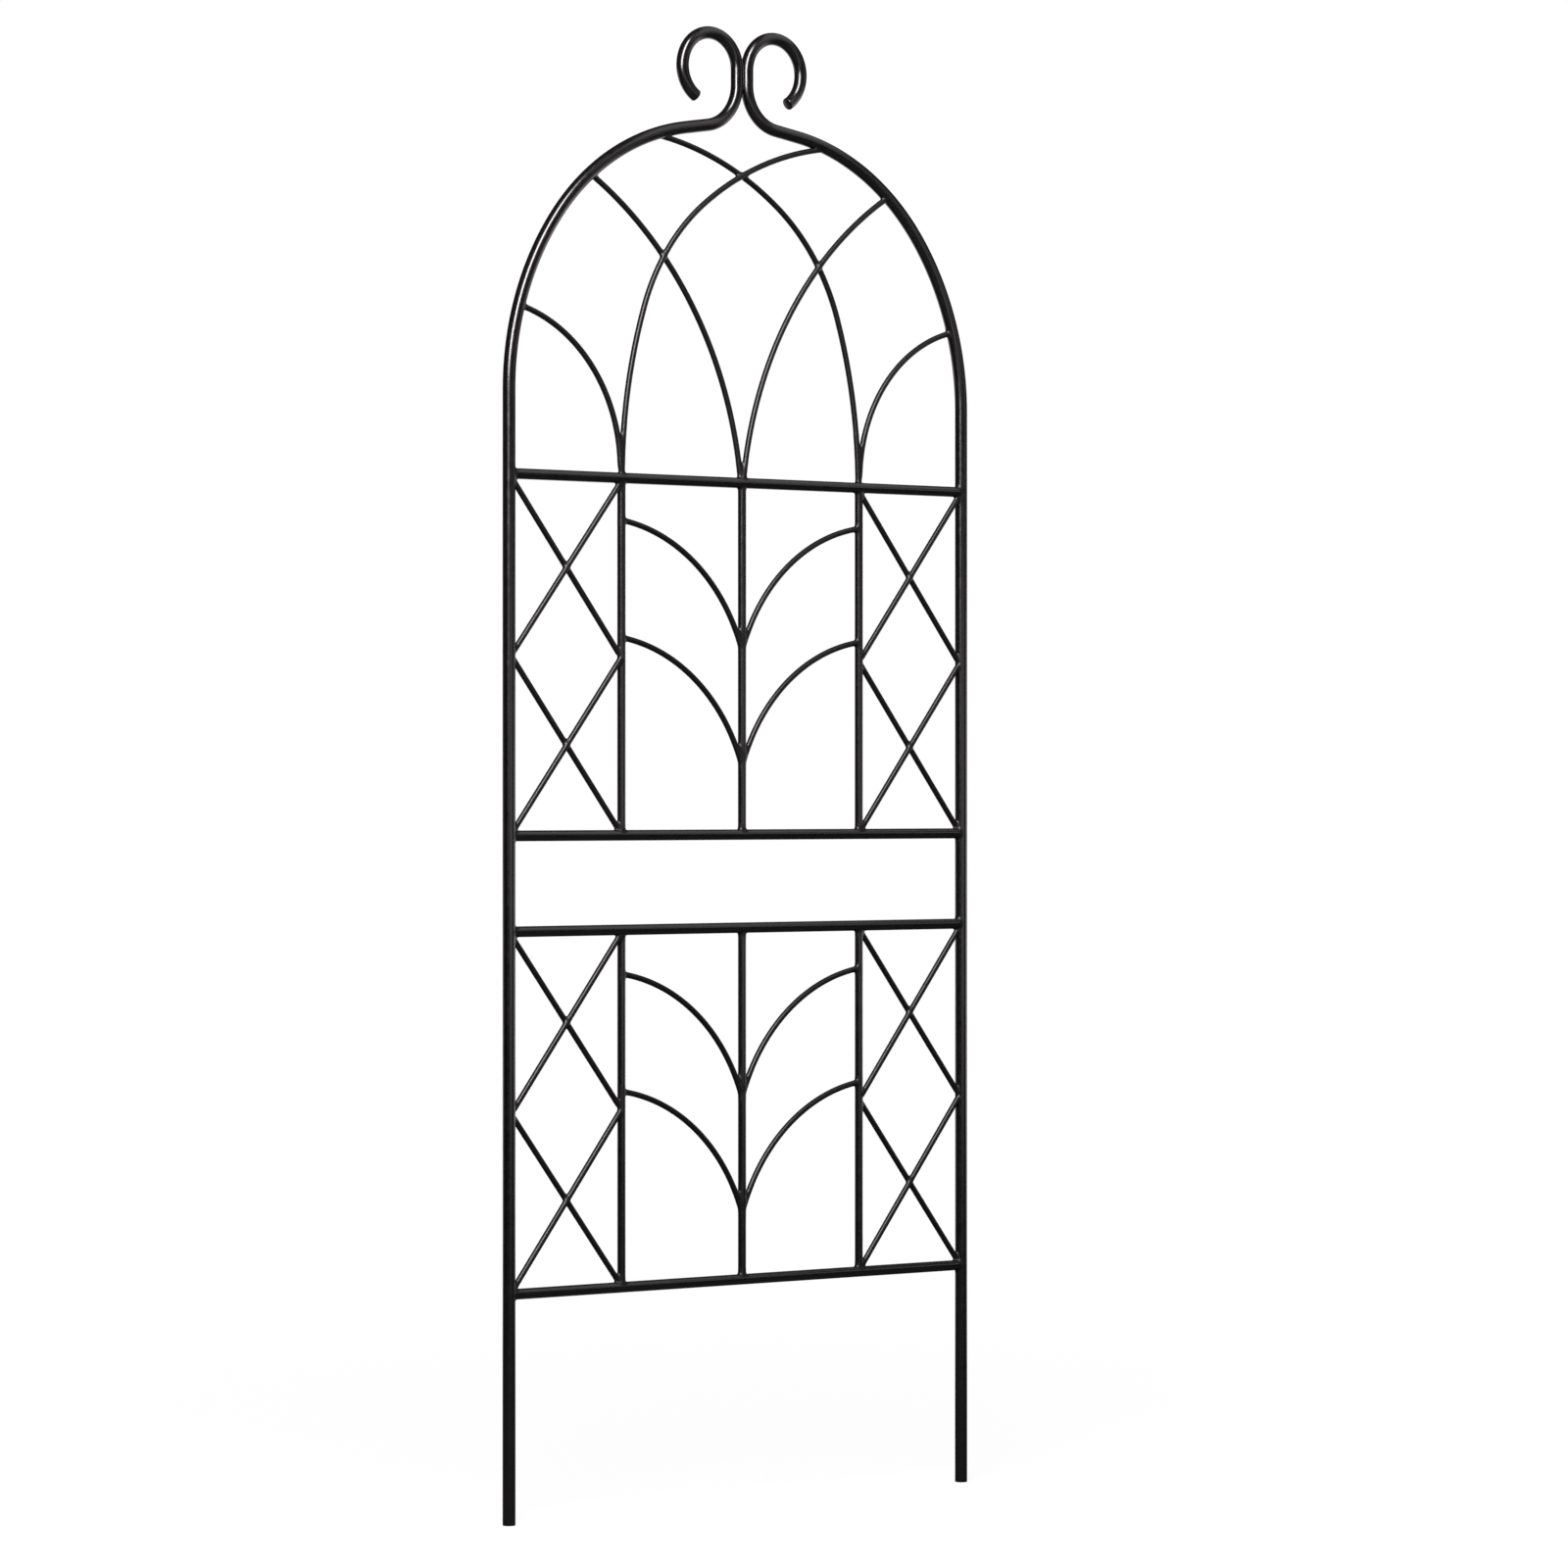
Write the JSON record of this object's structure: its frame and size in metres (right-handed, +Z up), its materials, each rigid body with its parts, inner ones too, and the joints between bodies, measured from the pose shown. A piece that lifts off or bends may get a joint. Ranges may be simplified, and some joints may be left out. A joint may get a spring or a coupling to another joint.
{
  "type": "garden trellis panel",
  "caption": "Flat garden trellis of welded round bar with an arched, scroll-topped frame, lattice side bays and leaf-shaped rods; its bare post ends push into soil to carry climbing plants.",
  "frame": {"origin": "midway between the posts, level with the cut ends of their feet, on the panel's middle plane", "axes": "+X along the rails towards the right post, +Y away from the viewer through the panel, +Z up the posts"},
  "size_m": [0.609, 0.013, 1.5229],
  "materials": {
    "black_coat": "satin"
  },
  "bodies": {
    "root": {"arch_rail": "black_coat", "bottom_rail": "black_coat", "left_arch_leaf_rod": "black_coat", "left_inner_arch_rod": "black_coat", "left_post": "black_coat", "left_tall_arch_rod": "black_coat", "lower_centre_upright": "black_coat", "lower_high_left_leaf_rod": "black_coat", "lower_high_right_leaf_rod": "black_coat", "lower_left_high_back_lattice_rod": "black_coat", "lower_left_high_front_lattice_rod": "black_coat", "lower_left_low_back_lattice_rod": "black_coat", "lower_left_low_front_lattice_rod": "black_coat", "lower_left_upright": "black_coat", "lower_low_left_leaf_rod": "black_coat", "lower_low_right_leaf_rod": "black_coat", "lower_middle_rail": "black_coat", "lower_right_high_back_lattice_rod": "black_coat", "lower_right_high_front_lattice_rod": "black_coat", "lower_right_low_back_lattice_rod": "black_coat", "lower_right_low_front_lattice_rod": "black_coat", "lower_right_upright": "black_coat", "right_arch_leaf_rod": "black_coat", "right_inner_arch_rod": "black_coat", "right_post": "black_coat", "right_tall_arch_rod": "black_coat", "scroll_welds": "black_coat", "upper_centre_upright": "black_coat", "upper_high_left_leaf_rod": "black_coat", "upper_high_right_leaf_rod": "black_coat", "upper_left_high_back_lattice_rod": "black_coat", "upper_left_high_front_lattice_rod": "black_coat", "upper_left_low_back_lattice_rod": "black_coat", "upper_left_low_front_lattice_rod": "black_coat", "upper_left_upright": "black_coat", "upper_low_left_leaf_rod": "black_coat", "upper_low_right_leaf_rod": "black_coat", "upper_middle_rail": "black_coat", "upper_right_high_back_lattice_rod": "black_coat", "upper_right_high_front_lattice_rod": "black_coat", "upper_right_low_back_lattice_rod": "black_coat", "upper_right_low_front_lattice_rod": "black_coat", "upper_right_upright": "black_coat"}
  },
  "joints": []
}
